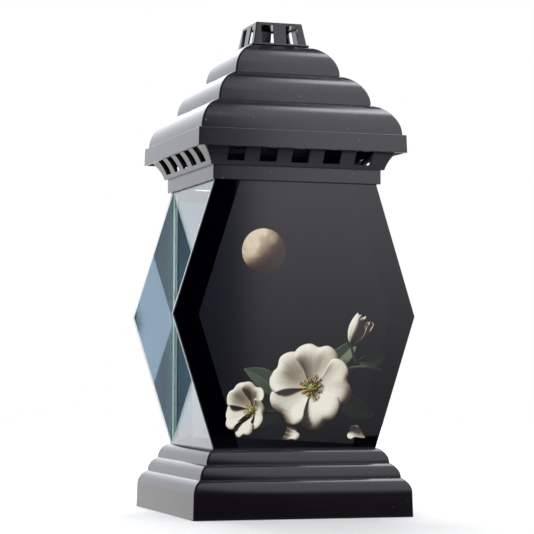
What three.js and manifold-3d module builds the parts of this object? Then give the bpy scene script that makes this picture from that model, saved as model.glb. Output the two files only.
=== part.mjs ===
// Grave lantern: four glass panes between a stepped plastic plinth and a stepped plastic
// roof that lifts off, with a refill candle standing inside. Millimetres, +Z up, the
// picture faces -Y, and the origin is the middle of the plinth's underside.
import * as THREE from 'three';
import { mergeVertices } from 'three/addons/utils/BufferGeometryUtils.js';
import Module from 'manifold-3d';

const wasm = await Module();
wasm.setup();

// Clearances and facet counts shared by all pieces
const seatGap = 0.3; // between pieces that rest on or sit in each other
const cutOverrun = 4; // how far a cutter runs past the wall that it opens
const weldDistance = 0.0001;
const squareSides = 4;
const roundSides = 40;
const smallSides = 16;
const tierSteps = 9; // facets in the round of one tier
const coveSteps = 7;
const noseSteps = 4; // facets in a half round edge

// Glass body
const glassThick = 4;
const bodyHalfX = 61.5; // to the outside of the side panes
const bodyHalfY = 60.5; // to the outside of the front and back panes
const paneLap = 0.4; // the hexagons pass the side panes by this at plinth and collar
const wingReach = 30.6; // how far a hexagon's points stand out past its narrow ends
const glassShow = 193.8; // height of glass between plinth and collar
const arris = 0.5; // ground edge of every pane
const buttGap = 0.25; // bond line where a side pane meets the front or back pane

// Picture film on the face of the front pane
const filmThick = 0.25;
const filmBond = 0.05;
const filmBorder = 18.9; // width of the black border, measured level
const filmTuck = 2; // how far the film runs up behind the collar

// Plinth
const plinthWall = 2.2;
const plinthSkirt = 17.4; // flat wall below the first tier
const plinthDraft = 0.5; // the skirt's foot stands out past its head by this
const plinthTiers = 3;
const plinthTierRun = 6.43;
const plinthTierRise = 10.6;
const plinthLedge = 0.4; // flat left at the head of each tier
const plinthLand = 1; // flat between the last tier and the glass
const grooveDepth = 6;
const sealWidth = 2.1;
const sealShort = 0.7; // the seal stops this far below the plinth's top
const floorDrop = 3; // the candle floor lies this far below the top
const floorStepIn = 2; // where the floor's underside steps down to the groove
const ribThick = 1.8;
const ribDepth = 5.5; // the ribs hang this far below the groove
const ribPairs = 2;
const ringRadius = 28.6; // inside of the ring that centres the refill
const ringWall = 1.8;
const ringHeight = 6;

// Vent frame: collar round the glass, cove with windows, lip under the roof
const collarWall = 1.9;
const collarHeight = 10.3;
const frameWall = 2;
const innerSkirtDrop = 7; // the skirt behind the glass hangs this far below the web
const coveOverhang = 2.1;
const coveFlare = 9.6;
const coveRadius = 30;
const coveLean = THREE.MathUtils.degToRad(15); // of the cove's foot, off vertical
const frameRise = 22.7; // cove's foot to the top of the lip
const ventCount = 5;
const ventMargin = 11.15; // from the cove's corner to its first window
const ventBar = 11;
const ventSill = 3;
const ventHeight = 11.2;
const beadLeg = 3.6;
const beadSteps = 4;

// Roof
const roofWall = 2;
const rimGap = 1.4; // between the rim and the frame's lip
const rimHeight = 13;
const rimDraft = 0.4;
const rimStep = 2.8;
const roofTiers = 3;
const roofTierRun = 17.93;
const roofTierRise = 23.23;
const roofLedge = 0.5;
const flueLand = 6.1; // flat round the flue hole
const postRadius = 2.5;
const postDrop = 17; // roof deck's underside to the foot of a post
const postBore = 1.7;

// Chimney cap
const chimneyMargin = 0.2; // roof's top edge to the cap's flange
const chimneyFlange = 1.6;
const flangeThick = 1.7;
const flangeLap = 2; // the flange runs in past the flue hole's edge
const chimneyWall = 1.2;
const chimneyDraft = 2.95; // the cap's walls lean in by this
const chimneyHeight = 18;
const chimneyPost = 5;
const chimneyBar = 9.6;
const chimneySill = 0.3;
const chimneyHead = 2.2;
const clipWidth = 8;
const clipThick = 1.6;
const clipBarb = 1.3;
const clipNose = 3;

// Heat shield and its screws
const shieldReach = 7.5; // past the roof's top edge
const shieldThick = 0.8;
const shieldLip = 3;
const screwRadius = 1.3;
const screwHole = 1.7;
const screwHead = 3.1;
const screwHeadHeight = 1.7;
const screwBite = 9;

// Refill candle
const cupFoot = 25.5;
const cupMouth = 27.5;
const cupHeight = 120;
const cupWall = 1.3;
const cupFloor = 2;
const cupLip = 1;
const cupLipHeight = 2.5;
const waxHeight = 92;
const waxDish = 2.5; // the wax is lower at the wick than at the wall
const wickRadius = 1.2;
const wickRise = 9;
const wickTip = 0.7;
const discRadius = 10;
const discThick = 0.6;
const collarRadius = 2.2;
const discCollar = 4;
const capThick = 0.6;
const capSkirt = 7;
const capMouth = 17;
const capCurl = 2.4;
const capDish = 3;
const capHoleRadius = 1.6;
const capHoles = 8;

// Levels and widths that follow from the sizes above
const paneNarrowHalf = bodyHalfX + paneLap;
const paneWideHalf = paneNarrowHalf + wingReach;
const pocketX = paneNarrowHalf + seatGap;
const pocketY = bodyHalfY + filmBond + filmThick + seatGap;
const pocketHalf = Math.max(pocketX, pocketY);
const plinthTopHalf = pocketHalf + plinthLand;
const plinthHalf = plinthTopHalf + plinthTiers * plinthTierRun;
const plinthTop = plinthSkirt + plinthTiers * plinthTierRise;
const grooveFloor = plinthTop - grooveDepth;
const innerFaceX = bodyHalfX - glassThick;
const innerFaceY = bodyHalfY - glassThick;
const coreX = innerFaceX - seatGap - sealWidth - seatGap; // what stands inside the seals
const coreY = innerFaceY - seatGap - sealWidth - seatGap;
const floorTop = plinthTop - floorDrop;
const collarBottom = plinthTop + glassShow;
const collarHalf = pocketHalf + collarWall;
const coveFootHalf = collarHalf + coveOverhang;
const coveFoot = collarBottom + collarHeight;
const webTop = coveFoot + frameWall; // the web rests over the heads of the panes
const lipHalf = coveFootHalf + coveFlare;
const lipTop = coveFoot + frameRise;
const paneFoot = grooveFloor + seatGap;
const paneHead = coveFoot - seatGap;
const paneMiddle = (plinthTop + collarBottom) / 2;
const paneSlope = wingReach / (paneMiddle - plinthTop);
const rimInnerHalf = lipHalf + rimGap;
const rimHalf = rimInnerHalf + roofWall;
const rimTop = lipTop + seatGap + roofWall;
const rimBottom = rimTop - rimHeight;
const tierFootHalf = rimHalf - rimStep;
const roofTopHalf = tierFootHalf - roofTiers * roofTierRun;
const roofTop = rimTop + roofTiers * roofTierRise;
const deckUnder = roofTop - roofWall;
const flueHalf = roofTopHalf - flueLand;
const postPlace = (flueHalf + roofTopHalf) / 2;
const postFoot = deckUnder - postDrop;
const shieldTop = postFoot - seatGap;
const refillFoot = floorTop + seatGap;
const cupTop = refillFoot + cupHeight;

const plastic = { roughness: 0.5, metalness: 0 };
const finishes = {
  roofPlastic: new THREE.MeshStandardMaterial({ ...plastic, color: 0x2f3034 }),
  plinthPlastic: new THREE.MeshStandardMaterial({ ...plastic, color: 0x1d1c1f, roughness: 0.3 }),
  blackGlass: new THREE.MeshStandardMaterial({ color: 0x050508, roughness: 0.05, metalness: 0 }),
  clearGlass: new THREE.MeshStandardMaterial({
    color: 0xb9d6d0, roughness: 0.03, metalness: 0, transparent: true, opacity: 0.35,
  }),
  mirrorGlass: new THREE.MeshStandardMaterial({ color: 0xb4c8d2, roughness: 0.03, metalness: 1 }),
  pictureFilm: new THREE.MeshStandardMaterial({ color: 0x2a2a31, roughness: 0.15, metalness: 0 }),
  sealant: new THREE.MeshStandardMaterial({ color: 0xc9c8bd, roughness: 0.4, metalness: 0 }),
  steel: new THREE.MeshStandardMaterial({ color: 0xa8aaad, roughness: 0.35, metalness: 1 }),
  cupPlastic: new THREE.MeshStandardMaterial({
    color: 0xe8e6df, roughness: 0.15, metalness: 0, transparent: true, opacity: 0.4,
  }),
  wax: new THREE.MeshStandardMaterial({ color: 0xefe8d6, roughness: 0.55, metalness: 0 }),
  cotton: new THREE.MeshStandardMaterial({ color: 0xd9d2c0, roughness: 0.9, metalness: 0 }),
  goldTin: new THREE.MeshStandardMaterial({ color: 0xc9a24d, roughness: 0.3, metalness: 1 }),
};

// A closed mesh as a solid for joining and cutting
function solidOf(geometry) {
  const bare = geometry.index ? geometry.toNonIndexed() : geometry.clone();
  bare.deleteAttribute('normal');
  bare.deleteAttribute('uv');
  const merged = mergeVertices(bare, weldDistance);
  return new wasm.Manifold(new wasm.Mesh({
    numProp: 3,
    vertProperties: merged.attributes.position.array,
    triVerts: new Uint32Array(merged.index.array),
  }));
}

function geometryOf(solid) {
  const { vertProperties, triVerts } = solid.getMesh();
  const geometry = new THREE.BufferGeometry();
  geometry.setAttribute('position', new THREE.BufferAttribute(new Float32Array(vertProperties), 3));
  geometry.setIndex(new THREE.BufferAttribute(new Uint32Array(triVerts), 1));
  const flat = geometry.toNonIndexed();
  flat.computeVertexNormals();
  return flat;
}

const joined = (solids) => solids.reduce((sum, next) => sum.add(next));
const without = (solid, cutters) => cutters.reduce((rest, next) => rest.subtract(next), solid);

// Turns a profile of [half width, height] points round the Z axis; four sides give a
// square form with mitred corners, so its radius is the half width times root two.
function turned(profile, sides) {
  const square = sides === squareSides;
  const spread = square ? Math.SQRT2 : 1;
  const points = profile.map(([half, z]) => new THREE.Vector2(half * spread, z));
  const start = square ? Math.PI / squareSides : 0;
  return new THREE.LatheGeometry(points, sides, start).rotateX(Math.PI / 2);
}

const closed = (profile) => [...profile, profile[0]];
const squareRing = (profile) => turned(closed(profile), squareSides);
const squareSolid = (profile) => turned(profile, squareSides);
const roundRing = (profile, sides = roundSides) => turned(closed(profile), sides);
const roundSolid = (profile, sides = roundSides) => turned(profile, sides);

// A box given by its lowest and highest corners
function boxSolid([x0, y0, z0], [x1, y1, z1]) {
  const box = new THREE.BoxGeometry(x1 - x0, y1 - y0, z1 - z0);
  return solidOf(box.translate((x0 + x1) / 2, (y0 + y1) / 2, (z0 + z1) / 2));
}

function cylinderSolid(radius, x, y, low, high) {
  const cylinder = new THREE.CylinderGeometry(radius, radius, high - low, smallSides);
  return solidOf(cylinder.rotateX(Math.PI / 2).translate(x, y, (low + high) / 2));
}

function polygon(points) {
  return new THREE.Shape(points.map(([x, y]) => new THREE.Vector2(x, y)));
}

// The tiers of plinth and roof, from the lowest foot up: each is a circular arc that starts
// upright at its foot and ends, still sloping a little, at a narrow ledge.
function tierProfile({ foot, base, tiers, run, rise, ledge }) {
  const reach = run - ledge;
  const radius = (rise ** 2 + reach ** 2) / (2 * reach);
  const end = Math.asin(rise / radius);
  const points = [];
  for (let tier = 0; tier < tiers; tier += 1) {
    const centre = foot - tier * run - radius;
    for (let step = 0; step <= tierSteps; step += 1) {
      const turn = (step / tierSteps) * end;
      points.push([centre + radius * Math.cos(turn), base + tier * rise + radius * Math.sin(turn)]);
    }
  }
  return points;
}

const shifted = (profile, by) => profile.map(([half, z]) => [half - by, z - by]);

// The four corners of a square, and the four sides as turns about Z
const corners = [[-1, -1], [1, -1], [1, 1], [-1, 1]];
const sideTurns = [0, 1, 2, 3].map((side) => (side * 360) / squareSides);
const onEachSide = (solids) => sideTurns.flatMap((turn) => (
  solids.map((solid) => solid.rotate([0, 0, turn]))
));

function plinthTierSizes(tiers) {
  return {
    foot: plinthHalf,
    base: plinthSkirt,
    tiers,
    run: plinthTierRun,
    rise: plinthTierRise,
    ledge: plinthLedge,
  };
}

// Hollow plinth, open below, with the glass groove, the candle floor and stiffening ribs
function plinthShell() {
  const grooveUnder = grooveFloor - plinthWall;
  const floorUnder = floorTop - plinthWall;
  const wellX = coreX - plinthWall;
  const wellY = coreY - plinthWall;
  const stepHalf = Math.min(wellX, wellY) - floorStepIn;
  const lastFootHalf = plinthHalf - (plinthTiers - 1) * plinthTierRun;
  const lastFoot = plinthSkirt + (plinthTiers - 1) * plinthTierRise;
  const innerTiers = shifted(tierProfile(plinthTierSizes(plinthTiers - 1)), plinthWall);
  const shell = solidOf(squareSolid([
    [0, floorUnder],
    [stepHalf, floorUnder],
    [stepHalf, grooveUnder],
    [lastFootHalf - plinthWall, grooveUnder],
    [lastFootHalf - plinthWall, lastFoot - plinthWall],
    ...innerTiers.reverse(),
    [plinthHalf - plinthWall, 0],
    [plinthHalf + plinthDraft, 0],
    ...tierProfile(plinthTierSizes(plinthTiers)),
    [plinthTopHalf, plinthTop],
    [0, plinthTop],
  ]));
  const groove = glassPocket(coreX, coreY, grooveFloor, plinthTop + cutOverrun);
  const well = boxSolid([-wellX, -wellY, floorTop], [wellX, wellY, plinthTop + cutOverrun]);
  const ribs = plinthRibs(lastFootHalf, stepHalf, grooveUnder, floorUnder);
  return geometryOf(joined([shell.subtract(groove).subtract(well), ribs, candleRing()]));
}

// The space that the four panes' ends take up, round a core
function glassPocket(halfX, halfY, low, high) {
  const core = boxSolid(
    [-halfX, -halfY, low - cutOverrun],
    [halfX, halfY, high + cutOverrun],
  );
  return boxSolid([-pocketX, -pocketY, low], [pocketX, pocketY, high]).subtract(core);
}

// Crossed ribs under the floor, trimmed to end inside the plinth's walls and floor
function plinthRibs(lastFootHalf, stepHalf, grooveUnder, floorUnder) {
  const sink = plinthWall / 2;
  const ribFoot = grooveUnder - ribDepth;
  const room = solidOf(squareSolid([
    [0, ribFoot],
    [lastFootHalf - sink, ribFoot],
    [lastFootHalf - sink, grooveUnder + sink],
    [stepHalf + sink, grooveUnder + sink],
    [stepHalf + sink, floorUnder + sink],
    [0, floorUnder + sink],
  ]));
  const pitch = (2 * plinthHalf) / (2 * ribPairs + 1);
  const ribs = [];
  for (let pair = 0; pair < ribPairs; pair += 1) {
    for (const side of [-1, 1]) {
      const place = side * pitch * (pair + 1 / 2);
      const low = place - ribThick / 2;
      const high = place + ribThick / 2;
      ribs.push(boxSolid([low, -plinthHalf, 0], [high, plinthHalf, plinthTop]));
      ribs.push(boxSolid([-plinthHalf, low, 0], [plinthHalf, high, plinthTop]));
    }
  }
  return joined(ribs).intersect(room);
}

function candleRing() {
  const rooted = floorTop - plinthWall / 2;
  return solidOf(roundRing([
    [ringRadius, rooted],
    [ringRadius + ringWall, rooted],
    [ringRadius + ringWall, floorTop + ringHeight],
    [ringRadius, floorTop + ringHeight],
  ]));
}

// Half width of a hexagonal pane at a height, less a border
const paneHalfAt = (z, border = 0) => (
  paneWideHalf - border - Math.abs(z - paneMiddle) * paneSlope
);

function hexagonShape(low, high, border) {
  const outline = [
    [paneHalfAt(low, border), low],
    [paneHalfAt(paneMiddle, border), paneMiddle],
    [paneHalfAt(high, border), high],
  ];
  return polygon([...outline, ...outline.map(([x, z]) => [-x, z]).reverse()]);
}

// A plate with ground edges; the shape's own plane becomes the plate's outer face plane
function groundPlate(shape) {
  const plate = new THREE.ExtrudeGeometry(shape, {
    depth: glassThick - 2 * arris,
    bevelThickness: arris,
    bevelSize: arris,
    bevelOffset: -arris,
    bevelSegments: 1,
  });
  return plate.translate(0, 0, arris - glassThick / 2);
}

const hexagonPane = () => groundPlate(hexagonShape(paneFoot, paneHead, 0)).rotateX(Math.PI / 2);

function sidePane() {
  const half = innerFaceY - buttGap;
  const outline = [[-half, paneFoot], [half, paneFoot], [half, paneHead], [-half, paneHead]];
  return groundPlate(polygon(outline)).rotateX(Math.PI / 2).rotateZ(Math.PI / 2);
}

function pictureFilm() {
  const shape = hexagonShape(plinthTop + seatGap, collarBottom + filmTuck, filmBorder);
  const film = new THREE.ExtrudeGeometry(shape, { depth: filmThick, bevelEnabled: false });
  return film.rotateX(Math.PI / 2);
}

// Level bead of sealant between the panes and the skirt or upstand behind them
function levelSeal(low, high) {
  const x = innerFaceX - seatGap;
  const y = innerFaceY - seatGap;
  const shape = polygon([[-x, -y], [x, -y], [x, y], [-x, y]]);
  const inX = coreX + seatGap;
  const inY = coreY + seatGap;
  shape.holes.push(polygon([[-inX, -inY], [-inX, inY], [inX, inY], [inX, -inY]]));
  const seal = new THREE.ExtrudeGeometry(shape, { depth: high - low, bevelEnabled: false });
  return seal.translate(0, 0, low);
}

// Upright bead of sealant in an inner corner, hollow-faced as a finger leaves it
function cornerBead() {
  const points = [[0, 0]];
  for (let step = 0; step <= beadSteps; step += 1) {
    const turn = (step / beadSteps) * (Math.PI / 2);
    points.push([beadLeg * (Math.sin(turn) - 1), beadLeg * (Math.cos(turn) - 1)]);
  }
  const low = plinthTop - sealShort + seatGap;
  const high = coveFoot - innerSkirtDrop - seatGap;
  const shape = polygon(points.reverse());
  const bead = new THREE.ExtrudeGeometry(shape, { depth: high - low, bevelEnabled: false });
  return bead.translate(innerFaceX - seatGap, innerFaceY - seatGap, low);
}

// Arc of the cove's face, or of the inner face a wall behind it, between two angles
function coveArc(radius, from, to) {
  const centreHalf = coveFootHalf + coveRadius * Math.cos(coveLean);
  const centre = coveFoot - coveRadius * Math.sin(coveLean);
  const points = [];
  for (let step = 0; step <= coveSteps; step += 1) {
    const angle = from + (to - from) * (step / coveSteps);
    points.push([centreHalf - radius * Math.cos(angle), centre + radius * Math.sin(angle)]);
  }
  return points;
}

// Collar over the glass, cove with windows on four sides, and the lip that carries the roof
function ventFrame() {
  const centreHalf = coveFootHalf + coveRadius * Math.cos(coveLean);
  const backRadius = coveRadius + frameWall;
  const lipInner = lipHalf - frameWall;
  const outerEnd = Math.acos((centreHalf - lipHalf) / coveRadius);
  const innerEnd = Math.acos((centreHalf - lipInner) / backRadius);
  const innerStart = Math.asin((frameWall + coveRadius * Math.sin(coveLean)) / backRadius);
  const block = solidOf(squareSolid([
    [0, collarBottom],
    [collarHalf, collarBottom],
    [collarHalf, coveFoot],
    ...coveArc(coveRadius, coveLean, outerEnd),
    [lipHalf, lipTop],
    [lipInner, lipTop],
    ...coveArc(backRadius, innerEnd, innerStart),
    [0, webTop],
  ]));
  const pocket = boxSolid(
    [-pocketX, -pocketY, collarBottom - cutOverrun],
    [pocketX, pocketY, coveFoot],
  );
  const rooted = (coveFoot + webTop) / 2;
  const skirt = boxSolid([-coreX, -coreY, coveFoot - innerSkirtDrop], [coreX, coreY, rooted]);
  const throatX = coreX - collarWall;
  const throatY = coreY - collarWall;
  const throat = boxSolid(
    [-throatX, -throatY, collarBottom - cutOverrun],
    [throatX, throatY, webTop + cutOverrun],
  );
  const frame = block.subtract(pocket).add(skirt).subtract(throat);
  const pitch = (2 * (coveFootHalf - ventMargin) + ventBar) / ventCount;
  const width = pitch - ventBar;
  const sill = coveFoot + ventSill;
  const cutters = [];
  for (let vent = 0; vent < ventCount; vent += 1) {
    const x = (vent - (ventCount - 1) / 2) * pitch;
    cutters.push(boxSolid(
      [x - width / 2, -lipHalf - cutOverrun, sill],
      [x + width / 2, frameWall + cutOverrun - coveFootHalf, sill + ventHeight],
    ));
  }
  return geometryOf(without(frame, onEachSide(cutters)));
}

// Three tiers over an upright rim, open below and at the flue, with posts for the shield
function roofShell() {
  const tiers = tierProfile({
    foot: tierFootHalf,
    base: rimTop,
    tiers: roofTiers,
    run: roofTierRun,
    rise: roofTierRise,
    ledge: roofLedge,
  });
  const shell = solidOf(squareRing([
    [rimHalf, rimBottom],
    [rimHalf - rimDraft, rimTop],
    ...tiers,
    [roofTopHalf, roofTop],
    [flueHalf, roofTop],
    [flueHalf, deckUnder],
    [roofTopHalf - roofWall, deckUnder],
    ...shifted(tiers, roofWall).reverse(),
    [rimInnerHalf, rimTop - roofWall],
    [rimInnerHalf, rimBottom],
  ]));
  const rooted = roofTop - roofWall / 2;
  const posts = corners.map(([x, y]) => (
    cylinderSolid(postRadius, x * postPlace, y * postPlace, postFoot, rooted)
  ));
  const bores = corners.map(([x, y]) => cylinderSolid(
    postBore, x * postPlace, y * postPlace, postFoot - cutOverrun, postFoot + screwBite + seatGap,
  ));
  return geometryOf(without(joined([shell, ...posts]), bores));
}

// Half round edge of a flange, from its underside up
function nose(half, low, high) {
  const radius = (high - low) / 2;
  const points = [];
  for (let step = 0; step <= noseSteps; step += 1) {
    const turn = (step / noseSteps - 1 / 2) * Math.PI;
    points.push([half - radius + radius * Math.cos(turn), low + radius + radius * Math.sin(turn)]);
  }
  return points;
}

// Vented cap over the flue: two windows a side, a flange, and four clips through the roof
function chimneyCap() {
  const foot = roofTop + seatGap;
  const top = foot + chimneyHeight;
  const flangeTop = foot + flangeThick;
  const flangeHalf = roofTopHalf - chimneyMargin;
  const footHalf = flangeHalf - chimneyFlange;
  const topHalf = footHalf - chimneyDraft;
  const opening = flueHalf - flangeLap;
  const cap = solidOf(squareSolid([
    [0, top - chimneyWall],
    [topHalf - chimneyWall, top - chimneyWall],
    [footHalf - chimneyWall, flangeTop],
    [opening, flangeTop],
    [opening, foot],
    ...nose(flangeHalf, foot, flangeTop),
    [footHalf, flangeTop],
    [topHalf, top],
    [0, top],
  ]));
  const middleHalf = (footHalf + topHalf) / 2;
  const width = middleHalf - chimneyPost - chimneyBar / 2;
  const cutters = [];
  for (const side of [-1, 1]) {
    const near = (side * chimneyBar) / 2;
    const far = near + side * width;
    cutters.push(boxSolid(
      [Math.min(near, far), -footHalf - cutOverrun, flangeTop + chimneySill],
      [Math.max(near, far), 0, top - chimneyHead],
    ));
  }
  const clips = onEachSide([clip(flangeTop, opening)]);
  return geometryOf(joined([without(cap, onEachSide(cutters)), ...clips]));
}

// A clip hangs from the flange through the flue hole, its barb under the roof's deck
function clip(head, opening) {
  const face = flueHalf - seatGap;
  const catchLevel = deckUnder - seatGap;
  const back = Math.max(face - clipThick, opening);
  const shape = polygon([
    [back, catchLevel - clipNose],
    [face, catchLevel - clipNose],
    [face + clipBarb, catchLevel],
    [face, catchLevel],
    [face, head],
    [back, head],
  ]);
  const bar = new THREE.ExtrudeGeometry(shape, { depth: clipWidth, bevelEnabled: false });
  return solidOf(bar.translate(0, 0, -clipWidth / 2).rotateX(Math.PI / 2));
}

// Pressed steel plate under the flue, its edges folded down
function heatShield() {
  const half = roofTopHalf + shieldReach;
  const under = shieldTop - shieldThick;
  const plate = solidOf(squareSolid([
    [0, under],
    [half - shieldThick, under],
    [half - shieldThick, shieldTop - shieldLip],
    [half, shieldTop - shieldLip],
    [half, shieldTop],
    [0, shieldTop],
  ]));
  const holes = corners.map(([x, y]) => cylinderSolid(
    screwHole, x * postPlace, y * postPlace, under - cutOverrun, shieldTop + cutOverrun,
  ));
  return geometryOf(without(plate, holes));
}

// Round-headed screw standing head down, its origin under the shield
function shieldScrew() {
  const tip = shieldThick + seatGap + seatGap + screwBite;
  return roundSolid([
    [0, -screwHeadHeight],
    [screwHead / 2, -screwHeadHeight],
    [screwHead, -screwHeadHeight / 2],
    [screwHead, 0],
    [screwRadius, 0],
    [screwRadius, tip - screwRadius],
    [0, tip],
  ], smallSides);
}

const cupHalfAt = (z) => cupFoot + ((cupMouth - cupFoot) * (z - refillFoot)) / cupHeight;

function refillCup() {
  const floor = refillFoot + cupFloor;
  const lipFoot = cupTop - cupLipHeight;
  return roundSolid([
    [0, refillFoot],
    [cupFoot, refillFoot],
    [cupHalfAt(lipFoot), lipFoot],
    [cupMouth + cupLip, lipFoot],
    [cupMouth + cupLip, cupTop],
    [cupMouth - cupWall, cupTop],
    [cupHalfAt(floor) - cupWall, floor],
    [0, floor],
  ]);
}

// Wax cast in the cup round the wick and its disc
function waxFill() {
  const floor = refillFoot + cupFloor;
  const foot = floor + seatGap;
  const discTop = foot + discThick + seatGap;
  const collarTop = discTop + discCollar;
  const top = floor + waxHeight;
  const wall = (z) => cupHalfAt(z) - cupWall - seatGap;
  const bore = wickRadius + seatGap;
  return roundRing([
    [discRadius + seatGap, foot],
    [wall(foot), foot],
    [wall(top), top],
    [wall(top) - waxDish, top - waxDish / 2],
    [bore + waxDish, top - waxDish],
    [bore, top - waxDish],
    [bore, collarTop],
    [collarRadius + seatGap, collarTop],
    [collarRadius + seatGap, discTop],
    [discRadius + seatGap, discTop],
  ]);
}

function candleWick() {
  const foot = refillFoot + cupFloor + seatGap + discThick + seatGap;
  const top = refillFoot + cupFloor + waxHeight - waxDish + wickRise;
  return roundSolid([
    [0, foot],
    [wickRadius, foot],
    [wickRadius, top - wickTip],
    [wickRadius - wickTip, top],
    [0, top],
  ], smallSides);
}

// Tin disc that holds the foot of the wick
function wickDisc() {
  const foot = refillFoot + cupFloor + seatGap;
  const top = foot + discThick;
  const bore = wickRadius + seatGap;
  const disc = solidOf(roundSolid([[0, foot], [discRadius, foot], [discRadius, top], [0, top]]));
  const collar = solidOf(roundRing([
    [bore, foot],
    [collarRadius, foot],
    [collarRadius, top + discCollar],
    [bore, top + discCollar],
  ], smallSides));
  return geometryOf(disc.add(collar));
}

// Stamped tin lid: skirt over the cup's lip, dished top, curled mouth and vent holes
function refillLid() {
  const under = cupTop + seatGap;
  const top = under + capThick;
  const skirtInner = cupMouth + cupLip + seatGap;
  const skirtOuter = skirtInner + capThick;
  const dishHalf = capMouth + capCurl;
  const rimInner = cupMouth - cupWall - capDish; // where the flat rim turns down to the dish
  const lid = solidOf(roundRing([
    [skirtInner, under - capSkirt],
    [skirtOuter, under - capSkirt],
    [skirtOuter, top],
    [rimInner, top],
    [dishHalf, top - capDish],
    [capMouth + capThick, top - capDish],
    [capMouth + capThick, top],
    [capMouth, top],
    [capMouth, top - capDish - capThick],
    [dishHalf, top - capDish - capThick],
    [rimInner, under],
    [skirtInner, under],
  ]));
  const ringAt = (dishHalf + rimInner) / 2;
  const holes = [];
  for (let hole = 0; hole < capHoles; hole += 1) {
    const angle = (hole / capHoles) * 2 * Math.PI;
    const x = ringAt * Math.cos(angle);
    const y = ringAt * Math.sin(angle);
    holes.push(cylinderSolid(capHoleRadius, x, y, under - capSkirt, top + cutOverrun));
  }
  return geometryOf(without(lid, holes));
}

const lantern = new THREE.Group();

function place(group, name, geometry, material, position = [0, 0, 0], turn = 0) {
  const mesh = new THREE.Mesh(geometry, material);
  mesh.name = name;
  mesh.position.set(...position);
  mesh.rotation.z = turn;
  group.add(mesh);
}

const body = new THREE.Group();
const paneCentreY = bodyHalfY - glassThick / 2;
const paneCentreX = bodyHalfX - glassThick / 2;
place(body, 'base_shell', plinthShell(), finishes.plinthPlastic);
place(body, 'front_pane', hexagonPane(), finishes.blackGlass, [0, -paneCentreY, 0]);
place(body, 'back_pane', hexagonPane(), finishes.mirrorGlass, [0, paneCentreY, 0]);
place(body, 'left_pane', sidePane(), finishes.clearGlass, [-paneCentreX, 0, 0]);
place(body, 'right_pane', sidePane(), finishes.clearGlass, [paneCentreX, 0, 0]);
place(body, 'picture_film', pictureFilm(), finishes.pictureFilm, [0, -bodyHalfY - filmBond, 0]);

const baseSeal = levelSeal(paneFoot, plinthTop - sealShort);
place(body, 'base_seal', baseSeal, finishes.sealant);
const skirtFoot = coveFoot - innerSkirtDrop;
const collarSeal = levelSeal(skirtFoot, paneHead);
place(body, 'collar_seal', collarSeal, finishes.sealant);
const beadNames = ['front_left', 'front_right', 'back_right', 'back_left'];
corners.forEach(([x, y], corner) => {
  const bead = solidOf(cornerBead());
  const mirrored = [x < 0 && [1, 0, 0], y < 0 && [0, 1, 0]].filter(Boolean);
  const turnedBead = mirrored.reduce((solid, plane) => solid.mirror(plane), bead);
  place(body, `corner_bead_${beadNames[corner]}`, geometryOf(turnedBead), finishes.sealant);
});
place(body, 'vent_frame', ventFrame(), finishes.roofPlastic);
lantern.add(body);

const roof = new THREE.Group();
place(roof, 'roof_shell', roofShell(), finishes.roofPlastic);
place(roof, 'chimney_cap', chimneyCap(), finishes.roofPlastic);
place(roof, 'heat_shield', heatShield(), finishes.steel);
const screwSeat = shieldTop - shieldThick - seatGap;
corners.forEach(([x, y], corner) => {
  const at = [x * postPlace, y * postPlace, screwSeat];
  place(roof, `shield_screw_${corner + 1}`, shieldScrew(), finishes.steel, at);
});
lantern.add(roof);

const refill = new THREE.Group();
place(refill, 'refill_cup', refillCup(), finishes.cupPlastic);
place(refill, 'refill_wax', waxFill(), finishes.wax);
place(refill, 'wick', candleWick(), finishes.cotton);
place(refill, 'wick_disc', wickDisc(), finishes.steel);
place(refill, 'refill_lid', refillLid(), finishes.goldTin);
lantern.add(refill);

export default lantern;
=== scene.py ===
import math

import bmesh
import bpy
from mathutils import Matrix, Vector
from mathutils.bvhtree import BVHTree
from mathutils.geometry import interpolate_bezier


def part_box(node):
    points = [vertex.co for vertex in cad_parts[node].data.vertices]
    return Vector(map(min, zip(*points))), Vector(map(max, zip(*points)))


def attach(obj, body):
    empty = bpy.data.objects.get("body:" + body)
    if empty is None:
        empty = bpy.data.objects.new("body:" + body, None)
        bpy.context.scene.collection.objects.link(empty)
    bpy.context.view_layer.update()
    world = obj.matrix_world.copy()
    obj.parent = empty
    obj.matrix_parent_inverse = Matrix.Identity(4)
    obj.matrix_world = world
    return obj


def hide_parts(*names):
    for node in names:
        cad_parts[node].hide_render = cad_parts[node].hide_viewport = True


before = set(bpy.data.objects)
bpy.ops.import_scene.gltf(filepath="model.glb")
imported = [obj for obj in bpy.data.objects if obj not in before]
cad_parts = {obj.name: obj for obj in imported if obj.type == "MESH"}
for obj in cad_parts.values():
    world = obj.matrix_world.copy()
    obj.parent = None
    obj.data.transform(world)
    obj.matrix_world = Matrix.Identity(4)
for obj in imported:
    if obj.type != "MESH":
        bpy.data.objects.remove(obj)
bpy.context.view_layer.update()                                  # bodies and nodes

# A glass grave lantern: stepped plinth, printed front pane, mirror back pane, clear sides,
# vent frame and a stepped roof that lifts off. Sizes are in millimetres up to the studio, and
# each mesh is scaled to metres as it is finished. The shaders' own distances are in metres.
mm = 0.001
weld = 0.0005  # points nearer than this are merged
onPlane = 0.0001  # and nearer than this lie on a cutting plane
slack = 0.01  # for picking the edges of a window
margin = 1.0  # for picking faces by their place
alike = 0.9  # directions whose dot product is above this count as one
body, roof, refill = "lantern_body", "roof", "refill"
corners = [(-1, -1), (1, -1), (1, 1), (-1, 1)]


def boxOf(node):
    low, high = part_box(node)
    return low / mm, high / mm


def metres(sizes):
    return [size * mm for size in sizes]


# Mesh helpers

def meshed(bm, name):
    mesh = bpy.data.meshes.new(name)
    bm.to_mesh(mesh)
    bm.free()
    return mesh


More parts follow.
